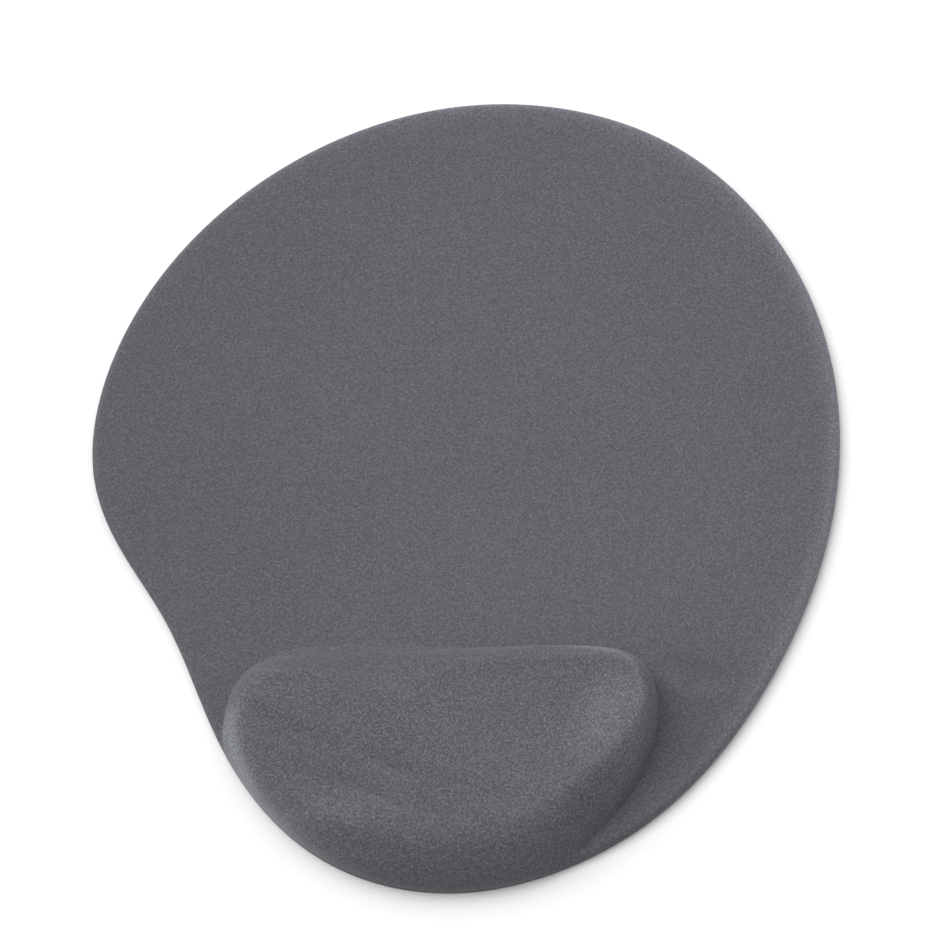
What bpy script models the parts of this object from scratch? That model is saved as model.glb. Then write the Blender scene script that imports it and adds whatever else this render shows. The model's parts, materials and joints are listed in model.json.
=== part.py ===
"""Gel wrist-rest mouse pad: a laminated pad and a D-shaped gel cushion under one stretched fabric cover.

+X is to the right, +Y points away from the person who uses it, and Z = 0 is the desk.
Every layer keeps a small clearance to its neighbours, where the real layers are bonded.
"""

import math

import bmesh
import bpy
import numpy as np

# Driving dimensions, in metres.
PAD_WIDTH = 0.220
PAD_DEPTH = 0.245
PAD_HEIGHT = 0.0042
CUSHION_HEIGHT = 0.0198  # at the control cage's highest, which smoothing brings down to 19 mm
RIM_RADIUS = 0.0020  # the rolled edge of the pad
CLEARANCE = 0.0003
POUCH_CLEARANCE = 0.00045  # between the cover and the pouch, which meet on steep curves

BASE_THICKNESS = 0.0010
ADHESIVE_THICKNESS = 0.0002
FILM_THICKNESS = 0.00025
COVER_THICKNESS = 0.0006

# The cushion's flank is steep at its ends, easier behind its left half, longest where the wrist
# comes over it.
FLANK_WIDTH = 0.0074
RIGHT_FLANK_LESS = 0.0028  # how much narrower it is at the cushion's right end
LEFT_FLANK_EXTRA = 0.0012
REAR_FLANK_EXTRA = 0.0110
FRONT_FLANK_EXTRA = 0.0095
REAR_SLOPE_X = -0.034  # the middle of the easier slope behind the cushion
REAR_SLOPE_REACH = 0.032
WRIST_SIDE = np.array([0.4, -0.92])  # the direction that the wrist comes from
FULLNESS = 1.9  # 1 makes the flank a parabola, 2 a quarter ellipse
SLOPE_FULLNESS_LESS = 0.8  # how much less full the long front and rear slopes are
# The crown is a saddle, with both ends of the cushion above its middle to cradle the wrist.
RIGHT_LIFT = 0.0021
LEFT_LIFT = 0.0008
RIGHT_SPREAD, LEFT_SPREAD = math.radians(42), math.radians(45)
SHOULDER_DROP = 0.0004  # the crown's edge, otherwise, lies this much below its middle
CUSHION_EDGE = 0.0015  # how far the cushion's foot stays inside the pad's outline
FLANGE_REACH = 0.0003  # how far the pouch's weld flange stands out past the cushion's foot
POCKET_REACH = 0.0011  # how far the foam's cut-out stands out past the cushion's foot

# Heights of the layers.
COVER_LOW = BASE_THICKNESS + CLEARANCE
ADHESIVE_LOW = BASE_THICKNESS + CLEARANCE
FOAM_LOW = ADHESIVE_LOW + ADHESIVE_THICKNESS + CLEARANCE
FLANGE_LOW = FOAM_LOW + FILM_THICKNESS + CLEARANCE

# How far each layer lies inside the cover's outer face.
FILM_INSET = COVER_THICKNESS + POUCH_CLEARANCE
GEL_INSET = FILM_INSET + FILM_THICKNESS + CLEARANCE

# Control points of the two plan curves, in millimetres, anticlockwise from the right.
PAD_CONTROL = [
    (113, 0), (108, 62), (67, 116), (0, 129), (-61, 104), (-103, 57), (-117, -3),
    (-85, -40), (-74, -78), (-48, -115), (0, -129), (58, -105), (94, -54),
]
CUSHION_CONTROL = [
    (56.5, -72), (52.8, -54.2), (36, -50.5), (-7, -52), (-25, -52), (-59, -52), (-72, -67),
    (-69, -121), (-40, -138), (5, -136), (32, -111), (50, -92.5),
]
CUSHION_CENTRE = np.array([-0.007, -0.086])
CURVE_STEPS = 6  # points on each span of a plan curve
CUSHION_SIDES = 32
RIM_STEPS = 4
BLEND = 0.0015  # rounds the corner where the cushion's own curve meets the pad's edge


def smooth_loop(control_points):
    """The points of the closed NURBS curve that the control points steer."""
    data = bpy.data.curves.new("guide", "CURVE")
    spline = data.splines.new("NURBS")
    spline.points.add(len(control_points) - 1)
    for point, (x, y) in zip(spline.points, control_points):
        point.co = (x / 1000, y / 1000, 0, 1)
    spline.order_u = 4
    spline.use_cyclic_u = True
    spline.resolution_u = CURVE_STEPS
    guide = bpy.data.objects.new("guide", data)
    mesh = bpy.data.meshes.new_from_object(guide)
    loop = np.array([vertex.co[:2] for vertex in mesh.vertices])
    bpy.data.objects.remove(guide)
    bpy.data.meshes.remove(mesh)
    bpy.data.curves.remove(data)
    return loop


def pad_outline():
    """The pad's plan, centred and scaled to its driving width and depth."""
    loop = smooth_loop(PAD_CONTROL)
    low, high = loop.min(axis=0), loop.max(axis=0)
    return (loop - (low + high) / 2) * (PAD_WIDTH, PAD_DEPTH) / (high - low)


def inset(loop, distance):
    """The loop moved inward along its own normals; a negative distance moves it outward."""
    along = np.roll(loop, -1, axis=0) - np.roll(loop, 1, axis=0)
    inward = np.stack([-along[:, 1], along[:, 0]], axis=1)
    inward /= np.linalg.norm(inward, axis=1, keepdims=True)
    return loop + inward * np.reshape(distance, (-1, 1))


def reach(loop, bearings):
    """How far the loop lies from the cushion's centre along each bearing."""
    spokes = loop - CUSHION_CENTRE
    return np.interp(
        bearings, np.arctan2(spokes[:, 1], spokes[:, 0]), np.hypot(*spokes.T), period=math.tau
    )


def cushion_plan(outline):
    """The cushion's plan: its own D-shaped curve, trimmed by the pad's edge at the front and left."""
    bearings = np.linspace(0, math.tau, CUSHION_SIDES, endpoint=False)
    own = reach(smooth_loop(CUSHION_CONTROL), bearings)
    edge = reach(inset(outline, CUSHION_EDGE), bearings)
    radius = -BLEND * np.logaddexp(-own / BLEND, -edge / BLEND)
    return CUSHION_CENTRE + radius[:, None] * np.stack([np.cos(bearings), np.sin(bearings)], axis=1)


def flank_shape(plan):
    """The width of the cushion's flank at each point of its plan, and how full its curve is."""
    along = np.roll(plan, -1, axis=0) - np.roll(plan, 1, axis=0)
    outward = np.stack([along[:, 1], -along[:, 0]], axis=1)
    outward /= np.linalg.norm(outward, axis=1, keepdims=True)
    eased = np.exp(-(((plan[:, 0] - REAR_SLOPE_X) / REAR_SLOPE_REACH) ** 2))
    behind = eased * np.clip(outward[:, 1], 0, 1) ** 4
    front = np.clip(outward @ WRIST_SIDE, 0, 1) ** 2
    right_end, left_end = (np.clip(side * outward[:, 0], 0, 1) ** 2 for side in (1, -1))
    width = FLANK_WIDTH - RIGHT_FLANK_LESS * right_end + LEFT_FLANK_EXTRA * left_end
    width += REAR_FLANK_EXTRA * behind + FRONT_FLANK_EXTRA * front
    return width, FULLNESS - SLOPE_FULLNESS_LESS * np.clip(behind + front, 0, 1)


def slab_rings(outline, depth_inside, low):
    """Rings from a slab's lower edge to its top, with its rounded rim depth_inside within the cover's."""
    radius = RIM_RADIUS - depth_inside
    centre = PAD_HEIGHT - RIM_RADIUS
    rings = [(inset(outline, depth_inside), low)]
    for angle in np.linspace(0, math.pi / 2, RIM_STEPS):
        loop = inset(outline, RIM_RADIUS - radius * math.cos(angle))
        rings.append((loop, centre + radius * math.sin(angle)))
    return rings


def crown_heights(loop, scale):
    """The cover's height over the points of a crown ring, scale times as wide as the crown's edge."""
    spokes = loop - CUSHION_CENTRE
    bearing = np.arctan2(spokes[:, 1], spokes[:, 0])
    right = RIGHT_LIFT * np.exp(-((bearing / RIGHT_SPREAD) ** 2))
    left = LEFT_LIFT * np.exp(-(((math.pi - np.abs(bearing)) / LEFT_SPREAD) ** 2))
    climb = max(0, (scale - 0.3) / 0.7) ** 1.8
    return CUSHION_HEIGHT - RIGHT_LIFT + (right + left) * climb - SHOULDER_DROP * scale**2


def dome_rings(plan, depth_inside, low):
    """Rings from the foot of a dome to its crown, depth_inside within the cushion's outer face."""
    foot = inset(plan, depth_inside)
    widths, fullness = flank_shape(plan)
    crown_edge = inset(foot, widths)
    shoulder = crown_heights(crown_edge, 1) - depth_inside
    rings = []
    for share in (0, 0.06, 0.25, 0.55, 1):
        rise = (1 - (1 - share) ** 2) ** (1 / fullness)
        rings.append((inset(foot, widths * share), low + (shoulder - low) * rise))
    for scale in (0.85, 0.6, 0.3):
        loop = CUSHION_CENTRE + (crown_edge - CUSHION_CENTRE) * scale
        rings.append((loop, crown_heights(loop, scale) - depth_inside))
    return rings


def material(name, colour, roughness):
    made = bpy.data.materials.new(name)
    made.use_nodes = True
    shader = made.node_tree.nodes["Principled BSDF"]
    shader.inputs["Base Color"].default_value = (*colour, 1)
    shader.inputs["Roughness"].default_value = roughness
    shader.inputs["Metallic"].default_value = 0
    return made


def place(name, mesh, collection, look=None):
    """A new object in a collection, with its material."""
    made = bpy.data.objects.new(name, mesh)
    if look:
        made.data.materials.append(look)
    collection.objects.link(made)
    return made


def loft(name, rings, floor=True, sharp_row=0):
    """A mesh skinned over rings of points, closed over the last, with one row kept sharp."""
    shape = bmesh.new()
    rows = []
    for loop, height in rings:
        points = np.column_stack([loop, np.broadcast_to(height, len(loop))])
        rows.append([shape.verts.new(point) for point in points])
    for lower, upper in zip(rows, rows[1:]):
        for i in range(len(lower)):
            j = (i + 1) % len(lower)
            shape.faces.new((lower[i], lower[j], upper[j], upper[i]))
    shape.faces.new(rows[-1])
    if floor:
        shape.faces.new(rows[0][::-1])
    crease = shape.edges.layers.float.new("crease_edge")
    kept = rows[sharp_row]
    for start, end in zip(kept, kept[1:] + kept[:1]):
        shape.edges.get((start, end))[crease] = 1
    mesh = bpy.data.meshes.new(name)
    shape.to_mesh(mesh)
    shape.free()
    mesh.shade_smooth()
    mesh.set_sharp_from_angle(angle=math.radians(40))
    return mesh


def plate(name, loop, low, high):
    """A flat sheet with the loop as its outline, from one height to another."""
    data = bpy.data.curves.new(name, "CURVE")
    data.dimensions = "2D"
    data.fill_mode = "BOTH"
    data.extrude = (high - low) / 2
    spline = data.splines.new("POLY")
    spline.points.add(len(loop) - 1)
    for point, (x, y) in zip(spline.points, loop):
        point.co = (x, y, 0, 1)
    spline.use_cyclic_u = True
    flat = bpy.data.objects.new(name, data)
    mesh = bpy.data.meshes.new_from_object(flat)
    bpy.data.objects.remove(flat)
    bpy.data.curves.remove(data)
    shape = bmesh.new()
    shape.from_mesh(mesh)
    bmesh.ops.remove_doubles(shape, verts=shape.verts, dist=1e-6)
    bmesh.ops.translate(shape, verts=shape.verts, vec=(0, 0, (low + high) / 2))
    bmesh.ops.recalc_face_normals(shape, faces=shape.faces)
    shape.to_mesh(mesh)
    shape.free()
    return mesh


def smooth_form(target):
    """Subdivision Surface, the same in the viewport and in a render."""
    subdivision = target.modifiers.new("Soft form", "SUBSURF")
    subdivision.levels = 1
    subdivision.render_levels = 1


def cut(target, cutter, operation="DIFFERENCE"):
    cutter.hide_render = True
    cutter.display_type = "WIRE"
    boolean = target.modifiers.new(cutter.name, "BOOLEAN")
    boolean.operation = operation
    boolean.solver = "EXACT"
    boolean.object = cutter


def fabric_cover(outline, plan, parts, cutters):
    """One thin skin over the pad, its rolled rim and the cushion, open underneath."""
    look = material("grey_stretch_knit", (0.127, 0.130, 0.147), 0.9)
    skin = loft("fabric_cover", slab_rings(outline, 0, COVER_LOW))
    cover = place("fabric_cover", skin, parts, look)
    outer = loft("cushion_outside", dome_rings(plan, 0, FLANGE_LOW))
    inside = loft("pad_inside", slab_rings(outline, COVER_THICKNESS, 0))
    inner = loft("cushion_inside", dome_rings(plan, COVER_THICKNESS, FLANGE_LOW))
    outer_form = place("cushion_outside", outer, cutters)
    inner_form = place("cushion_inside", inner, cutters)
    smooth_form(outer_form)
    smooth_form(inner_form)
    cut(cover, outer_form, "UNION")
    cut(cover, place("pad_inside", inside, cutters))
    cut(cover, inner_form)


def upper_gel_film(plan, parts):
    """The formed film over the gel, with the flange that is welded to the film below."""
    look = material("clear_film", (0.72, 0.75, 0.78), 0.3)
    flange = FLANGE_LOW + FILM_THICKNESS
    rings = [(inset(plan, -FLANGE_REACH), flange), *dome_rings(plan, FILM_INSET, flange)]
    skin = loft("upper_gel_film", rings, floor=False, sharp_row=1)
    film = place("upper_gel_film", skin, parts, look)
    smooth_form(film)
    wall = film.modifiers.new("Wall", "SOLIDIFY")
    wall.thickness = FILM_THICKNESS
    wall.offset = -1


def gel_core(plan, parts):
    """The soft gel that fills the pouch."""
    look = material("soft_gel", (0.55, 0.62, 0.70), 0.15)
    gel = loft("gel_core", dome_rings(plan, GEL_INSET, FLANGE_LOW))
    smooth_form(place("gel_core", gel, parts, look))


def lower_gel_film(plan, parts):
    look = material("backing_film", (0.70, 0.73, 0.76), 0.35)
    film = plate("lower_gel_film", inset(plan, -FLANGE_REACH), FOAM_LOW, FOAM_LOW + FILM_THICKNESS)
    place("lower_gel_film", film, parts, look)


def foam_pad(outline, plan, parts, cutters):
    """The foam under the mousing area, cut out round the gel pouch."""
    look = material("foam", (0.045, 0.046, 0.050), 0.95)
    foam = loft("foam_pad", slab_rings(outline, COVER_THICKNESS + CLEARANCE, FOAM_LOW))
    pocket = plate("gel_pocket", inset(plan, -POCKET_REACH), 0, 2 * PAD_HEIGHT)
    cut(place("foam_pad", foam, parts, look), place("gel_pocket", pocket, cutters))


def adhesive_film(outline, parts):
    """The hot-melt film that bonds the foam and the pouch to the base sheet."""
    look = material("hot_melt_film", (0.60, 0.58, 0.50), 0.4)
    loop = inset(outline, 2 * COVER_THICKNESS)
    film = plate("adhesive_film", loop, ADHESIVE_LOW, ADHESIVE_LOW + ADHESIVE_THICKNESS)
    place("adhesive_film", film, parts, look)


def non_slip_base(outline, parts):
    """The dark sheet that grips the desk, with its edges eased."""
    look = material("base_polyurethane", (0.022, 0.022, 0.025), 0.75)
    base = place("non_slip_base", plate("non_slip_base", outline, 0, BASE_THICKNESS), parts, look)
    eased = base.modifiers.new("Eased edge", "BEVEL")
    eased.width = 0.0002
    eased.segments = 1
    eased.limit_method = "ANGLE"
    eased.angle_limit = math.radians(40)


def collection(name):
    made = bpy.data.collections.new(name)
    bpy.context.scene.collection.children.link(made)
    return made


def main():
    for leftover in list(bpy.data.objects):
        bpy.data.objects.remove(leftover)
    parts = collection("gel_wrist_rest_mouse_pad")
    cutters = collection("cutters")
    outline = pad_outline()
    plan = cushion_plan(outline)
    non_slip_base(outline, parts)
    adhesive_film(outline, parts)
    foam_pad(outline, plan, parts, cutters)
    lower_gel_film(plan, parts)
    gel_core(plan, parts)
    upper_gel_film(plan, parts)
    fabric_cover(outline, plan, parts, cutters)


main()
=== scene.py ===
"""The looks of the gel wrist-rest mouse pad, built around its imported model.

The cover is one fine mesh. Bearings run out from the middle of the cushion, and rings follow the crown,
the cushion's foot and the pad's rim, so the flank, the fillet at its foot and the rolled rim are all
geometry. The gel and its upper film follow the same dome, each a little further in. The base is a sheet
with a grid of studs, and the flat layers between them keep their CAD meshes.
"""

import json
import math

import bmesh
import bpy
import numpy as np
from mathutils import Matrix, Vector


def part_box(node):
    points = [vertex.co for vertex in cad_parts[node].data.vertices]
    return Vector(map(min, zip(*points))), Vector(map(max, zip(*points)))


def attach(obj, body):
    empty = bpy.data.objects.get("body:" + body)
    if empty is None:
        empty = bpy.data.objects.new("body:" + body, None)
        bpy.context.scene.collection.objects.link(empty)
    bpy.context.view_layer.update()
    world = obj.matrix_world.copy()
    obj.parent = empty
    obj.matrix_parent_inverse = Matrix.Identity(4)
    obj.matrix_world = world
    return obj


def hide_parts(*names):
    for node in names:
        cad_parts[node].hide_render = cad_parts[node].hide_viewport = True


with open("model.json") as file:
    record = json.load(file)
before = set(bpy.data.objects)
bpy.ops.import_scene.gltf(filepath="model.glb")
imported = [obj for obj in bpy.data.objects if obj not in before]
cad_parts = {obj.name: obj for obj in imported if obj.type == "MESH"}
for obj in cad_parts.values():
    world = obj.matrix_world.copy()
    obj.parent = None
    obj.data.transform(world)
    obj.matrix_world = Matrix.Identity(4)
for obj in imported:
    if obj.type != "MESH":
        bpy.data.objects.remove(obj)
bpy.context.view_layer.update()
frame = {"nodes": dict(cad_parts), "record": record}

MM = 0.001

# Plan curves, as control points in millimetres, anticlockwise from the right. They repeat the CAD's.
PAD_CONTROL = [
    (113, 0), (108, 62), (67, 116), (0, 129), (-61, 104), (-103, 57), (-117, -3),
    (-85, -40), (-74, -78), (-48, -115), (0, -129), (58, -105), (94, -54),
]
CUSHION_CONTROL = [
    (56.5, -72), (52.8, -54.2), (36, -50.5), (-7, -52), (-25, -52), (-59, -52), (-72, -67),
    (-69, -121), (-40, -138), (5, -136), (32, -111), (50, -92.5),
]
CUSHION_CENTRE = np.array([-7.0, -86.0]) * MM
OVERHANG = 0.3 * MM  # how far the cushion's own foot stands outside the pad's outline at the front
PLAN_BLEND = 1.2 * MM  # how softly its plan turns into that outline

# Heights, read from the frame.
mounts = {mount["name"]: mount for mount in frame["record"]["mounts"]}
PAD_TOP = mounts["mousing_surface"]["pos_m"][2]
COVER_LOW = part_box("fabric_cover")[0][2]
CROWN_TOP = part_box("fabric_cover")[1][2]
BASE_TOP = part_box("non_slip_base")[1][2]
GEL_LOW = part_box("gel_core")[0][2]

# The pad's edge.
COVER_WALL = 0.6 * MM
RIM = 2.0 * MM  # radius of its rolled rim
BRIM = 30 * MM  # radius that the cushion's front keeps where it runs down to the edge
BRIM_BLEND = 0.3 * MM

# The crown, a saddle.
SADDLE_DEPTH = 2.1 * MM  # from its higher right end down to its middle
LEFT_LIFT = 0.8 * MM  # how far its left end stands above the middle
RIGHT_END_SPREAD = math.radians(42)  # how far round it the right end's climb reaches
LEFT_END_SPREAD = math.radians(45)
LEVEL_SHARE = 0.3  # how far out the ends start to climb
CLIMB_POWER = 1.8
SHOULDER_DROP = 0.4 * MM  # how far it falls from its middle to its edge, apart from that climb
CROWN_MIDDLE = CROWN_TOP - SADDLE_DEPTH + SHOULDER_DROP

# The flank's width on plan. It is steep at the ends, and easier behind and where the wrist comes over.
FLANK = 7.4 * MM
RIGHT_FLANK_LESS = 2.8 * MM
LEFT_FLANK_EXTRA = 1.2 * MM
HOLLOW_FLANK_EXTRA = 11 * MM
WRIST_FLANK_EXTRA = 9.5 * MM
WRIST_SIDE = np.array([0.4, -0.92])  # the way that the wrist's flank faces
HOLLOW_X = -34 * MM  # the middle of the hollow behind the cushion
HOLLOW_WIDTH = 32 * MM

# The flank's form.
FLANK_POWER = 2.0  # how smoothly it turns into the crown
FULLNESS = 1.9  # how steeply it leaves the pad
SLOPE_FULLNESS_LESS = 0.8  # how much less full it is where it is easier
FOOT_BLEND = 0.5 * MM  # the fabric turns crisply onto the pad at the ends
HOLLOW_BLEND_EXTRA = 0.9 * MM  # and softly behind

# The cover's mesh.
BEARINGS = 400
CROWN_RINGS = 30
FLANK_RINGS = 18
FILLET_RINGS = 6
FLAT_RINGS = 50
RIM_RINGS = 8
SIDE_RINGS = 3
CROWN_GRADING = 1.6  # how strongly the crown's rings crowd to its edge
FLAT_CROWDING = 2.2  # how strongly the pad's rings crowd to both ends of a long flat stretch
LONG_FLAT = 20 * MM
FOOT_MARGIN = 1.5 * MM  # the foot's ring stays this far inside the rim
FOOT_MARGIN_BLEND = 1.0 * MM
FILLET = 2.2 * MM  # width of the stretch that holds the fillet
FILLET_SHARE = 0.4  # the most that it takes of the pad outside the foot
RIM_SHARE = 0.6  # the most that the rim takes of the rest
SMOOTHING_PASSES = 4
CRISP_RINGS = 3  # rings at the flank's foot that the smoothing leaves out


# ---------------------------------------------------------------- plan curves


def smooth_loop(control_points, steps=60):
    """Points along the closed uniform cubic B-spline that the control points (in millimetres) steer."""
    control = np.array(control_points, float) * MM
    t = (np.arange(steps) / steps)[:, None]
    weights = ((1 - t) ** 3, 3 * t**3 - 6 * t**2 + 4, -3 * t**3 + 3 * t**2 + 3 * t + 1, t**3)
    spans = [
        sum(weight * control[(span + step) % len(control)] for step, weight in enumerate(weights)) / 6
        for span in range(len(control))
    ]
    return np.concatenate(spans)


def pad_outline():
    """The pad's plan, scaled to the CAD's own box."""
    loop = smooth_loop(PAD_CONTROL)
    low, high = loop.min(axis=0), loop.max(axis=0)
    box_low, box_high = (np.array(corner[:2]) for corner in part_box("non_slip_base"))
    return (loop - low) / (high - low) * (box_high - box_low) + box_low


def evenly(loop, count):
    """The closed loop again, as count points at equal distances along it."""
    closed = np.vstack([loop, loop[:1]])
    along = np.concatenate([[0], np.cumsum(np.linalg.norm(np.diff(closed, axis=0), axis=1))])
    at = np.linspace(0, along[-1], count, endpoint=False)
    return np.stack([np.interp(at, along, closed[:, axis]) for axis in (0, 1)], axis=1)


def inward(loop):
    """The unit normal into a closed anticlockwise loop at each of its points."""
    along = np.roll(loop, -1, axis=0) - np.roll(loop, 1, axis=0)
    normal = np.stack([-along[:, 1], along[:, 0]], axis=1)
    return normal / np.linalg.norm(normal, axis=1, keepdims=True)


def reach(loop, bearings, centre=CUSHION_CENTRE):
    """How far the loop lies from the centre along each bearing."""
    spokes = loop - centre
    loop_bearings = np.arctan2(spokes[:, 1], spokes[:, 0])
    return np.interp(bearings, loop_bearings, np.hypot(*spokes.T), period=math.tau)


def soft_min(first, second, blend):
    return -blend * np.logaddexp(-first / blend, -second / blend)


def soft_max(first, second, blend):
    return blend * np.logaddexp(first / blend, second / blend)


def shares(count):
    """Equal steps, from one step above 0 up to 1."""
    return np.linspace(0, 1, count + 1)[1:]


# ---------------------------------------------------------------- the cover's shape


class Plan:
    """What the rings need to know along each bearing from the cushion's centre.

    The distances run along the bearing: edge to the pad's rim, and foot to the cushion's foot. Times
    edge_cos or foot_cos, a distance there becomes one square to that curve.
    """

    def __init__(self, bearings_count, overhang):
        outline = pad_outline()
        rim = evenly(outline, bearings_count)
        spokes = rim - CUSHION_CENTRE
        self.edge = np.hypot(*spokes.T)
        self.ray = spokes / self.edge[:, None]
        self.bearing = np.arctan2(spokes[:, 1], spokes[:, 0])
        own_foot = reach(smooth_loop(CUSHION_CONTROL), self.bearing)
        outermost = reach(outline - inward(outline) * overhang, self.bearing)
        self.foot = soft_min(own_foot, outermost, PLAN_BLEND)
        foot_inward = inward(self.point(self.foot))
        self.edge_cos = np.abs((inward(rim) * self.ray).sum(axis=1))
        self.foot_cos = np.abs((foot_inward * self.ray).sum(axis=1))
        self.shape_flank(-foot_inward)

    def point(self, radius):
        return CUSHION_CENTRE + radius[:, None] * self.ray

    def shape_flank(self, facing):
        """Sets the flank's width, fullness and blend from the way that it faces."""
        to_right = np.clip(facing[:, 0], 0, 1) ** 2
        to_left = np.clip(-facing[:, 0], 0, 1) ** 2
        to_wrist = np.clip(facing @ WRIST_SIDE, 0, 1) ** 2
        from_hollow = (self.point(self.foot)[:, 0] - HOLLOW_X) / HOLLOW_WIDTH
        in_hollow = np.exp(-(from_hollow**2)) * np.clip(facing[:, 1], 0, 1) ** 4
        self.flank = FLANK - RIGHT_FLANK_LESS * to_right + LEFT_FLANK_EXTRA * to_left
        self.flank += HOLLOW_FLANK_EXTRA * in_hollow + WRIST_FLANK_EXTRA * to_wrist
        self.fullness = FULLNESS - SLOPE_FULLNESS_LESS * np.clip(in_hollow + to_wrist, 0, 1)
        self.blend = FOOT_BLEND + HOLLOW_BLEND_EXTRA * in_hollow


def crown_height(bearing, share):
    """The saddle-shaped crown; share is 0 at its middle and 1 at its edge."""
    right_end = SADDLE_DEPTH * np.exp(-((bearing / RIGHT_END_SPREAD) ** 2))
    left_end = LEFT_LIFT * np.exp(-(((math.pi - np.abs(bearing)) / LEFT_END_SPREAD) ** 2))
    climb = np.clip((share - LEVEL_SHARE) / (1 - LEVEL_SHARE), 0, 1) ** CLIMB_POWER
    return CROWN_MIDDLE + (right_end + left_end) * climb - SHOULDER_DROP * share**2


def dome_height(plan, radius, inset=0.0):
    """The height of the cushion's dome, or of one set into it, at a radius on each bearing."""
    foot = plan.foot - inset / plan.foot_cos
    up_flank = (foot - radius) * plan.foot_cos / plan.flank
    on_flank = (1 - (1 - np.clip(up_flank, 0, 1)) ** FLANK_POWER) ** (1 / plan.fullness)
    # Outside its foot the dome runs on down, below the top of the pad.
    rise = np.where(up_flank > 0, on_flank, FLANK_POWER * plan.fullness * up_flank)
    crown_edge = foot - plan.flank / plan.foot_cos
    crown = crown_height(plan.bearing, np.clip(radius / crown_edge, 0, 1))
    return PAD_TOP + (crown - PAD_TOP) * rise - inset


def cover_height(plan, radius):
    """The height of the cover's outer face at a radius on each bearing."""
    edge_distance = np.clip((plan.edge - radius) * plan.edge_cos, 0, None)
    within = np.clip(edge_distance, 0, RIM)
    pad = PAD_TOP - RIM + np.sqrt(RIM**2 - (RIM - within) ** 2)
    brim = PAD_TOP - RIM + np.sqrt(2 * BRIM * edge_distance)
    dome = soft_min(dome_height(plan, radius), brim, BRIM_BLEND)
    return soft_max(pad, dome, plan.blend)


def cover_radii(plan):
    """The radius of each ring of the cover's top on each bearing, from the crown out to the rim."""
    foot = soft_min(plan.foot, plan.edge - FOOT_MARGIN / plan.edge_cos, FOOT_MARGIN_BLEND)
    crown_edge = foot - plan.flank / plan.foot_cos
    outside = (plan.edge - foot) * plan.edge_cos
    fillet_end = foot + np.minimum(FILLET, FILLET_SHARE * outside) / plan.foot_cos
    rim_width = np.minimum(RIM, RIM_SHARE * (plan.edge - fillet_end) * plan.edge_cos)
    flat = plan.edge - rim_width / plan.edge_cos - fillet_end
    crowding = FLAT_CROWDING * flat / (flat + LONG_FLAT)
    radii = [crown_edge * (1 - (1 - share) ** CROWN_GRADING) for share in shares(CROWN_RINGS)]
    radii += [crown_edge + (foot - crown_edge) * share for share in shares(FLANK_RINGS)]
    radii += [foot + (fillet_end - foot) * share for share in shares(FILLET_RINGS)]
    for share in np.linspace(-1, 1, FLAT_RINGS + 2)[1:-1]:
        graded = (1 + np.tanh(crowding * share) / np.tanh(crowding)) / 2
        radii.append(fillet_end + flat * graded)
    for turn in np.linspace(math.pi / 2, 0, RIM_RINGS):
        radii.append(plan.edge - rim_width * (1 - math.cos(turn)) / plan.edge_cos)
    return radii


def cover_rings(plan):
    """The rings of the cover's outer face, from the crown out and down to the foot of its side."""
    radii = cover_radii(plan)
    heights = np.array([cover_height(plan, radius) for radius in radii])
    soft = heights[: CROWN_RINGS + FLANK_RINGS - CRISP_RINGS]
    for _ in range(SMOOTHING_PASSES):
        soft[1:-1] += ((soft[:-2] + soft[2:]) / 2 - soft[1:-1]) / 2
    rings = [np.column_stack([plan.point(radius), height]) for radius, height in zip(radii, heights)]
    side = rings[-1]
    for share in shares(SIDE_RINGS):
        lower = side.copy()
        lower[:, 2] += (COVER_LOW - side[:, 2]) * share
        rings.append(lower)
    return rings


# ---------------------------------------------------------------- what is pressed in it, and its painted light and shade

# Creases in the crown, and a fold in the pad beside it: a route in millimetres on plan, then half-width
# and depth in millimetres. A negative depth stands up.
CREASES = [
    ([(-64, -71), (-56, -74.5), (-49, -78), (-42, -80.5), (-34, -84.5)], 2.1, 0.34),
    ([(-33, -84), (-25, -86.7), (-17, -90.2), (-11, -91.5), (-2, -95)], 1.9, 0.32),
    ([(-8, -93.5), (2, -96), (14, -100.5)], 1.9, 0.18),
    ([(-57, -86), (-42.5, -91), (-31, -95.7), (-20, -99.5), (-10, -101.5), (-2, -106)], 1.9, 0.28),
    ([(-45, -107), (-32, -111), (-17, -113.5), (0, -113)], 2.2, 0.16),
    ([(-38, -113), (-24, -115.5), (-10, -116)], 1.1, -0.12),
    ([(53, -58), (64, -65), (78, -64)], 1.8, -0.40),
    ([(55, -54), (67, -57), (82, -60)], 2.2, 0.30),
]

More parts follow.
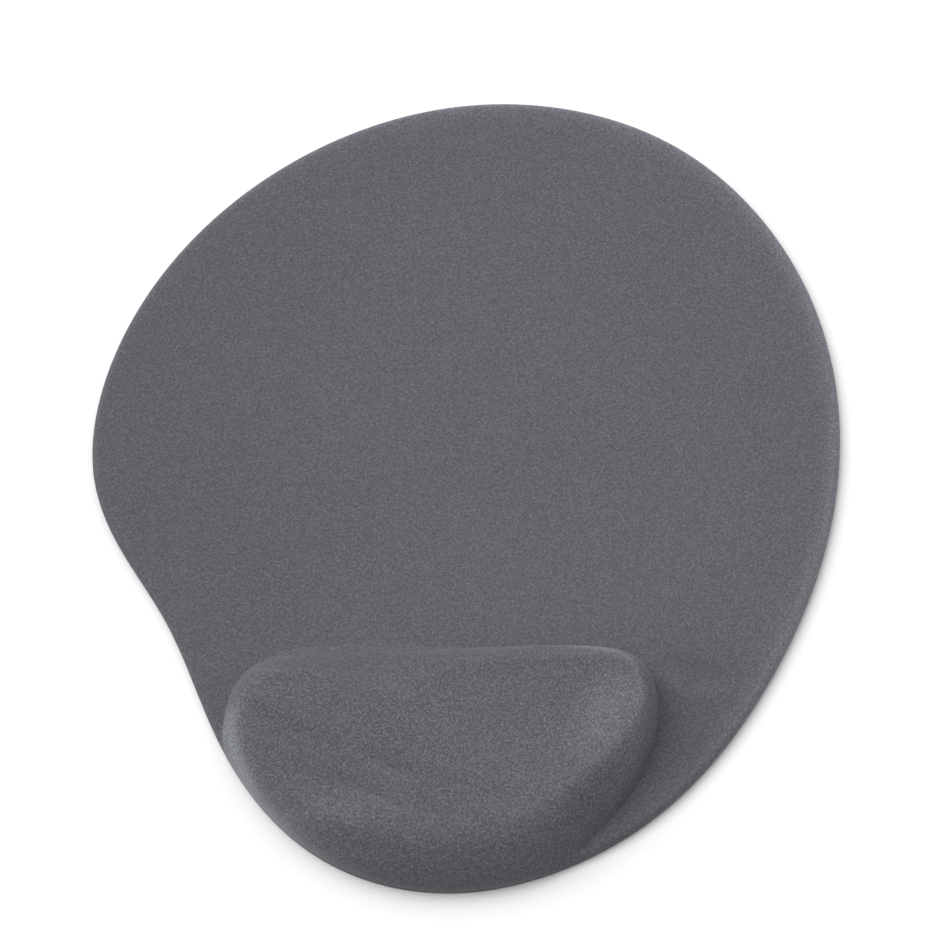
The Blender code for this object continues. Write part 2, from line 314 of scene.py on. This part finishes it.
# Painted light and shade on the knit: a route and half-width as above, then how much lighter it is
# painted. Where the last number is negative it is painted shade or shadow, and so darker.
PAINTED_LIGHTS = [
    # Painted highlights on the crown's high right end, and on the shoulder outside it.
    ([(43, -62), (42, -69), (38, -77), (30, -88)], 6.5, 0.65),
    ([(47, -60), (50.5, -69), (49.5, -79), (45.5, -89), (38, -100)], 2.4, 0.5),
    # Painted highlights at the two far corners: a bright line at the right one, a faint wide one at the
    # left.
    ([(27, -53.4), (34, -53.5), (42, -55), (49, -60)], 1.4, 1.3),
    ([(-67, -76), (-60, -67), (-47, -64), (-28, -66)], 8.0, 0.12),
    # Painted highlight on the left end, where the light falls: along its edge and in a wider band.
    ([(-65.5, -70), (-67.3, -77), (-66, -84), (-60, -97), (-50, -109), (-36, -118)], 2.3, 2.2),
    ([(-63, -86), (-57, -98), (-48, -108), (-37, -116), (-23, -121)], 5.0, 0.35),
    # A painted highlight where the heel of the hand lies.
    ([(-60, -108), (-46, -103), (-30, -101), (-12, -100)], 5.0, 0.35),
    # Painted shade along the far side of the crown, and a painted shadow on the pad to the right of the
    # cushion.
    ([(-58, -58), (-35, -59), (-10, -59.5), (15, -59), (42, -60)], 4.5, -0.25),
    ([(56, -36), (68, -56), (67, -76), (56, -96), (40, -112)], 13.0, -0.22),
]
GROOVE_FADE = 0.7  # how gently a route fades out at its two ends

# Painted light along the rolled rim of the pad.
RIM_PAINTED_LIGHT = 0.12  # how much painted light the rim gets
FAR_RIM_PAINTED_LIGHT = 2.1  # how much more painted light it gets on the far right, where the rim is lightest
FAR_RIGHT = 0.9  # that way's bearing, in radians
RIM_FADE = 2.2 * MM  # how soon the rim's painted light fades inwards
OPEN_PAD = 12 * MM  # the rim's painted light is full where the pad is this wide outside the cushion


def groove(plan_points, route, half_width):
    """How deep in a groove each point lies: 1 along its middle, fading to its sides and ends."""
    route = np.array(route, float) * MM
    best = np.full(len(plan_points), np.inf)
    along = np.zeros(len(plan_points))
    for number, (start, end) in enumerate(zip(route, route[1:])):
        step = end - start
        share = np.clip((plan_points - start) @ step / (step @ step), 0, 1)
        distance = np.linalg.norm(plan_points - start - share[:, None] * step, axis=1)
        nearer = distance < best
        best = np.where(nearer, distance, best)
        along = np.where(nearer, (number + share) / (len(route) - 1), along)
    return np.exp(-((best / (half_width * MM)) ** 2)) * np.sin(math.pi * along) ** GROOVE_FADE


def press_creases(points):
    """Presses the creases into points of the cover, and returns how far each is pressed, in millimetres."""
    pressed = np.zeros(len(points))
    for route, half_width, depth in CREASES:
        hollow = depth * groove(points[:, :2], route, half_width)
        points[:, 2] -= hollow * MM
        pressed += hollow
    return pressed


def painted_light_mask(plan, points):
    """The painted light at each point, below 0 painted shade: over the rim, and along the listed routes."""
    offsets = points[:, :2] - CUSHION_CENTRE
    bearing = np.arctan2(offsets[:, 1], offsets[:, 0])
    edge, edge_cos, outside = (
        np.interp(bearing, plan.bearing, known, period=math.tau)
        for known in (plan.edge, plan.edge_cos, plan.edge - plan.foot)
    )
    from_edge = np.clip((edge - np.hypot(*offsets.T)) * edge_cos, 0, None)
    over_rim = RIM_PAINTED_LIGHT + FAR_RIM_PAINTED_LIGHT * np.clip(np.cos(bearing - FAR_RIGHT), 0, 1) ** 2
    mask = over_rim * np.exp(-from_edge / RIM_FADE) * np.clip(outside / OPEN_PAD, 0, 1)
    for route, half_width, amount in PAINTED_LIGHTS:
        mask += amount * groove(points[:, :2], route, half_width)
    return mask


def skin(name, points, count, closed=False):
    """A mesh over rings of count points round the first point; a closed one ends in a point too."""
    rings = (len(points) - 1) // count
    pairs = [(spoke, (spoke + 1) % count) for spoke in range(count)]
    faces = [(0, 1 + spoke, 1 + after) for spoke, after in pairs]
    for ring in range(rings - 1):
        inner = 1 + ring * count
        outer = inner + count
        faces += [(inner + spoke, outer + spoke, outer + after, inner + after) for spoke, after in pairs]
    if closed:
        last = len(points) - 1
        start = last - count
        faces += [(last, start + after, start + spoke) for spoke, after in pairs]
    mesh = bpy.data.meshes.new(name)
    mesh.from_pydata(points.tolist(), [], faces)
    mesh.shade_smooth()
    made = bpy.data.objects.new(name, mesh)
    bpy.context.scene.collection.objects.link(made)
    return made


def add_wall(piece, thickness):
    """Gives an open surface its thickness, inwards."""
    wall = piece.modifiers.new("Wall", "SOLIDIFY")
    wall.thickness = thickness
    wall.offset = -1


def build_cover():
    """The cover, with its painted light and shade and how far it is pressed kept on its points for the
    knit.
    """
    plan = Plan(BEARINGS, OVERHANG)
    middle = [[*CUSHION_CENTRE, CROWN_MIDDLE]]
    points = np.vstack([middle, *cover_rings(plan)])
    pressed = press_creases(points)
    cover = skin("stretch_fabric_cover", points, BEARINGS)
    for name, values in (("painted_light", painted_light_mask(plan, points)), ("pressed", pressed)):
        cover.data.attributes.new(name, "FLOAT", "POINT").data.foreach_set("value", values)
    add_wall(cover, COVER_WALL)
    return cover


# ---------------------------------------------------------------- the gel pouch under the cover

FILM_INSET = 0.95 * MM
FILM_WALL = 0.25 * MM
GEL_INSET = 1.55 * MM
FLANGE = 0.3 * MM
POUCH_EDGE = 1.1 * MM  # the pouch stays this far inside the pad's outline
POUCH_BEARINGS = 160
POUCH_RINGS = 14  # on the crown, and again on the flank
FOOT_GRADING = 0.8  # how strongly the flank's rings crowd to its foot
UNDERSIDE_SHARES = (0.97, 0.85, 0.6, 0.3)


def dome_points(plan, inset, foot_low):
    """Rings of a dome set into the cushion, from its middle to its foot, and straight down to foot_low."""
    foot = plan.foot - inset / plan.foot_cos
    crown_edge = foot - plan.flank / plan.foot_cos
    radii = [crown_edge * share for share in shares(POUCH_RINGS)]
    radii += [crown_edge + (foot - crown_edge) * share**FOOT_GRADING for share in shares(POUCH_RINGS)]
    rings = [np.column_stack([plan.point(radius), dome_height(plan, radius, inset)]) for radius in radii]
    lower = rings[-1].copy()
    lower[:, 2] = foot_low
    middle = [[*CUSHION_CENTRE, CROWN_MIDDLE - inset]]
    return np.vstack([middle, *rings, lower])


def build_gel(plan):
    """The gel, domed above and flat below."""
    top = dome_points(plan, GEL_INSET, GEL_LOW)
    foot = top[-POUCH_BEARINGS:]
    under = []
    for share in UNDERSIDE_SHARES:
        ring = foot.copy()
        ring[:, :2] = CUSHION_CENTRE + (foot[:, :2] - CUSHION_CENTRE) * share
        under.append(ring)
    points = np.vstack([top, *under, [[*CUSHION_CENTRE, GEL_LOW]]])
    return skin("gel_cushion", points, POUCH_BEARINGS, closed=True)


def build_upper_film(plan):
    """The formed film over the gel, down to its weld flange."""
    top = dome_points(plan, FILM_INSET, GEL_LOW + FILM_WALL)
    flange = top[-POUCH_BEARINGS:].copy()
    spokes = flange[:, :2] - CUSHION_CENTRE
    flange[:, :2] += spokes / plan.foot[:, None] * (FILM_INSET + FLANGE)
    film = skin("pouch_upper_film", np.vstack([top, flange]), POUCH_BEARINGS)
    add_wall(film, FILM_WALL)
    return film


# ---------------------------------------------------------------- the base

BASE_POINTS = 300
BASE_EASE = 0.2 * MM  # radius of its eased edges
EASE_MIDDLE = 0.06 * MM  # how far the middle of that round lies from the square corner, each way
BASE_MARGIN = 3 * MM  # the studs' middles stay this far inside its outline
INNER_SHARES = (0.35, 0.7)

STUD_PITCH = 4.2 * MM
STUD_HEIGHT = 0.25 * MM
STUD_ROOT = 1.4 * MM  # radius where it joins the sheet
STUD_TIP = 1.15 * MM
STUD_SINK = 0.05 * MM  # how far its root runs into the sheet
STUD_SIDES = 6


def base_points(outline):
    """The base sheet from the middle of its top, round its eased edge, to the middle of its underside."""
    inner = inward(outline)
    low, high = STUD_HEIGHT, BASE_TOP
    profile = [
        (BASE_MARGIN, high), (BASE_EASE, high), (EASE_MIDDLE, high - EASE_MIDDLE), (0, high - BASE_EASE),
        (0, low + BASE_EASE), (EASE_MIDDLE, low + EASE_MIDDLE), (BASE_EASE, low), (BASE_MARGIN, low),
    ]
    edge = [
        np.column_stack([outline + inner * inset, np.full(len(outline), height)])
        for inset, height in profile
    ]
    top = [edge[0] * (share, share, 1) for share in INNER_SHARES]
    under = [edge[-1] * (share, share, 1) for share in reversed(INNER_SHARES)]
    return np.vstack([[[0, 0, high]], *top, *edge, *under, [[0, 0, low]]])


def stud_places(outline):
    """A hexagonal grid of places, all well inside the base's outline."""
    limit = outline + inward(outline) * BASE_MARGIN
    low, high = limit.min(axis=0), limit.max(axis=0)
    row_pitch = STUD_PITCH * math.sqrt(3) / 2
    places = []
    for row, y in enumerate(np.arange(low[1], high[1], row_pitch)):
        first = low[0] + (row % 2) * STUD_PITCH / 2
        places += [(x, y) for x in np.arange(first, high[0], STUD_PITCH)]
    places = np.array(places)
    bearing = np.arctan2(places[:, 1], places[:, 0])
    return places[np.hypot(*places.T) < reach(limit, bearing, centre=0)]


def stud_mesh(places):
    """A low six-sided stud at each place, its root just inside the sheet."""
    turns = np.arange(STUD_SIDES) * math.tau / STUD_SIDES
    around = np.stack([np.cos(turns), np.sin(turns)], axis=1)
    corners = np.zeros((len(places), 2, STUD_SIDES, 3))
    corners[:, 0, :, :2] = places[:, None] + around * STUD_ROOT
    corners[:, 0, :, 2] = STUD_HEIGHT + STUD_SINK
    corners[:, 1, :, :2] = places[:, None] + around * STUD_TIP
    faces = []
    for root in range(0, 2 * STUD_SIDES * len(places), 2 * STUD_SIDES):
        tip = root + STUD_SIDES
        faces.append(list(range(root, tip)))
        faces.append(list(reversed(range(tip, tip + STUD_SIDES))))
        for side in range(STUD_SIDES):
            after = (side + 1) % STUD_SIDES
            faces.append((root + side, tip + side, tip + after, root + after))
    mesh = bpy.data.meshes.new("studs")
    mesh.from_pydata(corners.reshape(-1, 3).tolist(), [], faces)
    return mesh


def build_base():
    """The base sheet, with a grid of low studs that grip the desk."""
    outline = evenly(pad_outline(), BASE_POINTS)
    base = skin("grip_base", base_points(outline), BASE_POINTS, closed=True)
    studs = stud_mesh(stud_places(outline))
    whole = bmesh.new()
    whole.from_mesh(base.data)
    whole.from_mesh(studs)
    whole.to_mesh(base.data)
    whole.free()
    bpy.data.meshes.remove(studs)
    base.data.set_sharp_from_angle(angle=math.radians(35))
    return base


# ---------------------------------------------------------------- materials


class Look:
    """A short way to write a procedural material."""

    def __init__(self, name, colour, roughness):
        self.material = bpy.data.materials.new(name)
        self.material.use_nodes = True
        self.tree = self.material.node_tree
        self.shader = self.tree.nodes["Principled BSDF"]
        self.shader.inputs["Base Color"].default_value = (*colour, 1)
        self.shader.inputs["Roughness"].default_value = roughness
        self.place = self.tree.nodes.new("ShaderNodeTexCoord").outputs["Object"]

    def node(self, kind, *inputs, settings=None, **named_inputs):
        """A new node. Its inputs, in order or by name, are values or other nodes' outputs."""
        made = self.tree.nodes.new("ShaderNode" + kind)
        for key, value in (settings or {}).items():
            setattr(made, key, value)
        for key, value in (*enumerate(inputs), *named_inputs.items()):
            if isinstance(value, bpy.types.NodeSocket):
                self.tree.links.new(value, made.inputs[key])
            else:
                made.inputs[key].default_value = value
        return made

    def maths(self, operation, *terms):
        return self.node("Math", *terms, settings={"operation": operation}).outputs[0]

    def vector(self, operation, *terms):
        return self.node("VectorMath", *terms, settings={"operation": operation}).outputs[0]

    def noise(self, scale, detail=2.0, place=None, roughness=0.5):
        place = place or self.place
        made = self.node("TexNoise", Vector=place, Scale=scale, Detail=detail, Roughness=roughness)
        return made.outputs["Fac"]

    def cells(self, scale, feature="F1"):
        """The distance from the middle of each cell, or with DISTANCE_TO_EDGE from its walls."""
        made = self.node("TexVoronoi", Vector=self.place, Scale=scale, settings={"feature": feature})
        return made.outputs["Distance"]

    def attribute(self, name):
        return self.node("Attribute", settings={"attribute_name": name}).outputs["Fac"]

    def ramp(self, value, low, high, start=0.0, end=1.0):
        """A value stretched from one range onto another, and held inside it."""
        return self.node("MapRange", value, low, high, start, end).outputs[0]

    def mix(self, share, first, second):
        """A colour between two others."""
        return self.node("MixRGB", share, (*first, 1), (*second, 1)).outputs[0]

    def connect(self, value, socket):
        self.tree.links.new(value, self.shader.inputs[socket])

    def bump(self, height, strength, depth):
        """Fine relief; depth is what a height of 1 stands for."""
        made = self.node("Bump", Strength=strength, Distance=depth, Height=height)
        self.connect(made.outputs[0], "Normal")


KNIT_GREY = (0.097, 0.0995, 0.1125)
STITCH_WIDTH = 0.52 * MM
STITCH_LENGTH = 0.46 * MM
STITCH_DRIFT = 0.6 * MM  # how far the rows of stitches wander


def knit():
    """Grey elastic knit: fine stitches, each a little lighter or darker, on a cool mid-grey, with painted
    light and shade.
    """
    look = Look("grey_stretch_knit", KNIT_GREY, 0.85)
    wander = look.node("TexNoise", Vector=look.place, Scale=180.0).outputs["Color"]
    drift = look.vector("MULTIPLY", wander, (STITCH_DRIFT, STITCH_DRIFT, STITCH_DRIFT))
    per_metre = (1 / STITCH_WIDTH, 1 / STITCH_LENGTH, 1 / STITCH_LENGTH)
    stitches = look.vector("MULTIPLY", look.vector("ADD", look.place, drift), per_metre)

    # The grain: each stitch's own shade, and a speckle tilted so that no face lies along its lattice.
    whole_stitch = look.vector("FLOOR", stitches)
    own_shade = look.node("TexWhiteNoise", Vector=whole_stitch, settings={"noise_dimensions": "3D"})
    tilted = look.node("VectorRotate", Vector=look.place, Axis=(0.6, 0.8, 0.0), Angle=0.7).outputs[0]
    speckle = look.noise(1750.0, 0.6, tilted)
    flecks = look.maths("POWER", look.ramp(speckle, 0.25, 0.8), 1.4)
    stitch_shade = look.ramp(own_shade.outputs["Value"], 0, 1, -0.04, 0.04)
    grain = look.maths("ADD", stitch_shade, look.ramp(flecks, 0, 1, -0.24, 0.46))
    # It shows more on the cushion, where the knit is pulled open.
    apart = look.node("SeparateXYZ", look.place)
    opened = look.ramp(apart.outputs["Z"], PAD_TOP, PAD_TOP + 6 * MM, 1.0, 1.3)
    grain = look.maths("MULTIPLY", grain, opened)

    # The tone: faint clouds, a little darker to the left, then painted light and shade, and painted crease
    # shade.
    shade = look.maths("ADD", grain, look.ramp(look.noise(22.0, 3.0), 0.25, 0.75, 0.97, 1.03))
    for factor in (
        look.ramp(apart.outputs["X"], -95 * MM, -15 * MM, 0.92, 1.0),
        # Painted light and shade, kept on the cover's points.
        look.ramp(look.attribute("painted_light"), -1, 2.5, 0.52, 2.2),
        # Painted shade in the creases, and a painted highlight on the ridges.
        look.ramp(look.attribute("pressed"), -0.3, 0.3, 1.1, 0.9),
    ):
        shade = look.maths("MULTIPLY", shade, factor)
    tone = look.node("VectorMath", KNIT_GREY, Scale=shade, settings={"operation": "SCALE"})
    look.connect(tone.outputs[0], "Base Color")

    # The relief: slanting loops within each stitch, and the speckle.
    within = look.node("SeparateXYZ", look.vector("FRACTION", stitches))
    across = look.maths("ABSOLUTE", look.maths("SUBTRACT", within.outputs["X"], 0.5))
    slant = look.maths("SUBTRACT", within.outputs["Y"], across)
    loops = look.maths("SINE", look.maths("MULTIPLY", slant, math.tau))
    relief = look.maths("ADD", look.maths("MULTIPLY", loops, 0.3), speckle)
    look.bump(relief, 0.5, 0.12 * MM)
    look.shader.inputs["Sheen Weight"].default_value = 0.16
    look.shader.inputs["Sheen Roughness"].default_value = 0.3
    look.shader.inputs["Specular IOR Level"].default_value = 0.25
    return look.material


def gel():
    """Clear bluish gel, faintly clouded, with small dimples."""
    look = Look("soft_gel", (0.50, 0.60, 0.72), 0.12)
    clouds = look.ramp(look.noise(60.0), 0.3, 0.7)
    look.connect(look.mix(clouds, (0.46, 0.57, 0.70), (0.56, 0.65, 0.75)), "Base Color")
    look.bump(look.ramp(look.cells(260.0), 0.0, 0.12), 0.25, 0.1 * MM)
    look.shader.inputs["Transmission Weight"].default_value = 0.55
    look.shader.inputs["IOR"].default_value = 1.42
    return look.material


def film(name, colour, roughness, scale):
    """A thin plastic film with faint mottling and fine wrinkles."""
    look = Look(name, colour, roughness)
    mottle = look.ramp(look.noise(scale, 4.0), 0.3, 0.7)
    lighter = [min(1.0, 1.12 * channel) for channel in colour]
    look.connect(look.mix(mottle, colour, lighter), "Base Color")
    look.connect(look.ramp(mottle, 0, 1, roughness - 0.06, roughness + 0.1), "Roughness")
    look.bump(look.noise(4 * scale, 3.0), 0.3, 0.08 * MM)
    look.shader.inputs["Transmission Weight"].default_value = 0.5
    return look.material


def foam():
    """Charcoal open-cell foam."""
    look = Look("charcoal_foam", (0.045, 0.046, 0.050), 0.95)
    # Painted shade in the pores: the hollows of the cells are darker than their walls.
    hollows = look.ramp(look.cells(1600.0, "DISTANCE_TO_EDGE"), 0.0, 0.25)
    look.connect(look.mix(hollows, (0.075, 0.076, 0.082), (0.020, 0.020, 0.023)), "Base Color")
    look.bump(look.maths("SUBTRACT", 1.0, hollows), 0.7, 0.3 * MM)
    return look.material


def grip_rubber():
    """Dark matt polyurethane with a fine leathery grain and a little dust."""
    look = Look("base_polyurethane", (0.022, 0.022, 0.025), 0.62)
    dust = look.ramp(look.noise(420.0, 5.0, roughness=0.7), 0.52, 0.75)
    look.connect(look.mix(dust, (0.018, 0.018, 0.021), (0.050, 0.050, 0.054)), "Base Color")
    look.connect(look.ramp(dust, 0, 1, 0.55, 0.8), "Roughness")
    look.bump(look.cells(3200.0), 0.35, 0.06 * MM)
    return look.material


# ---------------------------------------------------------------- the pieces, placed on the frame


def place_piece(piece, node, material):
    """Puts a piece on the body in place of its CAD node, in its material."""
    piece.data.materials.append(material)
    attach(piece, "root")
    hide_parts(node)


pouch_plan = Plan(POUCH_BEARINGS, overhang=-POUCH_EDGE)
cover = build_cover()
cushion = build_gel(pouch_plan)
pouch = build_upper_film(pouch_plan)
place_piece(cover, "fabric_cover", knit())
place_piece(cushion, "gel_core", gel())
place_piece(pouch, "upper_gel_film", film("clear_pouch_film", (0.72, 0.75, 0.78), 0.25, 90.0))
place_piece(build_base(), "non_slip_base", grip_rubber())
for node, material in (
    ("lower_gel_film", film("backing_film", (0.70, 0.73, 0.76), 0.32, 140.0)),
    ("adhesive_film", film("hot_melt_film", (0.60, 0.58, 0.50), 0.4, 220.0)),
    ("foam_pad", foam()),
):
    frame["nodes"][node].material_slots[0].material = material

# ---------------------------------------------------------------- floor, light and camera

# The studio's glow, as a direction and how the light changes along it: the two cosines to that direction
# between which it changes, then its level at each. It is brightest from the window on the left, and dim
# from the front, where someone stands.
GLOW_SIDES = (
    ((-0.74, 0.67, 0), (-1, 1, 0.61, 1.27)),
    ((0, -1, 0), (0.1, 0.9, 1, 0.27)),
)
CAMERA_ELEVATION = math.radians(70)
CAMERA_DISTANCE = 1.1
CAMERA_LENS = 141.8  # focal length in millimetres
SENSOR_WIDTH = 36  # in millimetres
AIM = Vector((0.0025, 0.0034, 0))


def stage():
    bpy.ops.mesh.primitive_plane_add(size=8)
    floor = bpy.context.object
    floor.name = "floor"
    floor.data.materials.append(Look("pale_floor", (0.9, 0.9, 0.9), 0.9).material)


def studio_glow():
    """White light from all round, its strength the product of its levels along the two directions."""
    world = bpy.data.worlds.new("studio")
    world.use_nodes = True
    nodes, links = world.node_tree.nodes, world.node_tree.links
    background = nodes["Background"]
    background.inputs["Color"].default_value = (1, 1, 1, 1)
    direction = nodes.new("ShaderNodeTexCoord").outputs["Generated"]
    glow = nodes.new("ShaderNodeMath")
    glow.operation = "MULTIPLY"
    for number, (toward, change) in enumerate(GLOW_SIDES):
        cosine = nodes.new("ShaderNodeVectorMath")
        cosine.operation = "DOT_PRODUCT"
        cosine.inputs[1].default_value = toward
        level = nodes.new("ShaderNodeMapRange")
        for socket, value in zip(list(level.inputs)[1:5], change):
            socket.default_value = value
        links.new(direction, cosine.inputs[0])
        links.new(cosine.outputs["Value"], level.inputs[0])
        links.new(level.outputs[0], glow.inputs[number])
    links.new(glow.outputs[0], background.inputs["Strength"])
    bpy.context.scene.world = world


def soft_sun(name, azimuth, elevation, spread, strength):
    """A distant soft light; the angles are in degrees, azimuth anticlockwise from +X."""
    around, up = math.radians(azimuth), math.radians(elevation)
    toward = Vector((math.cos(around) * math.cos(up), math.sin(around) * math.cos(up), math.sin(up)))
    data = bpy.data.lights.new(name, "SUN")
    data.energy = strength
    data.angle = math.radians(spread)
    light = bpy.data.objects.new(name, data)
    light.rotation_euler = toward.to_track_quat("Z", "Y").to_euler()
    bpy.context.scene.collection.objects.link(light)


def camera():
    data = bpy.data.cameras.new("camera")
    data.lens = CAMERA_LENS
    data.sensor_width = SENSOR_WIDTH
    data.clip_start = 0.05
    made = bpy.data.objects.new("camera", data)
    away = Vector((0, -math.cos(CAMERA_ELEVATION), math.sin(CAMERA_ELEVATION)))
    made.location = AIM + CAMERA_DISTANCE * away
    made.rotation_euler = (math.pi / 2 - CAMERA_ELEVATION, 0, 0)
    bpy.context.scene.collection.objects.link(made)
    bpy.context.scene.camera = made


stage()
studio_glow()
soft_sun("key", azimuth=146, elevation=55, spread=60, strength=1.63)
camera()
bpy.context.scene.view_settings.view_transform = "Standard"
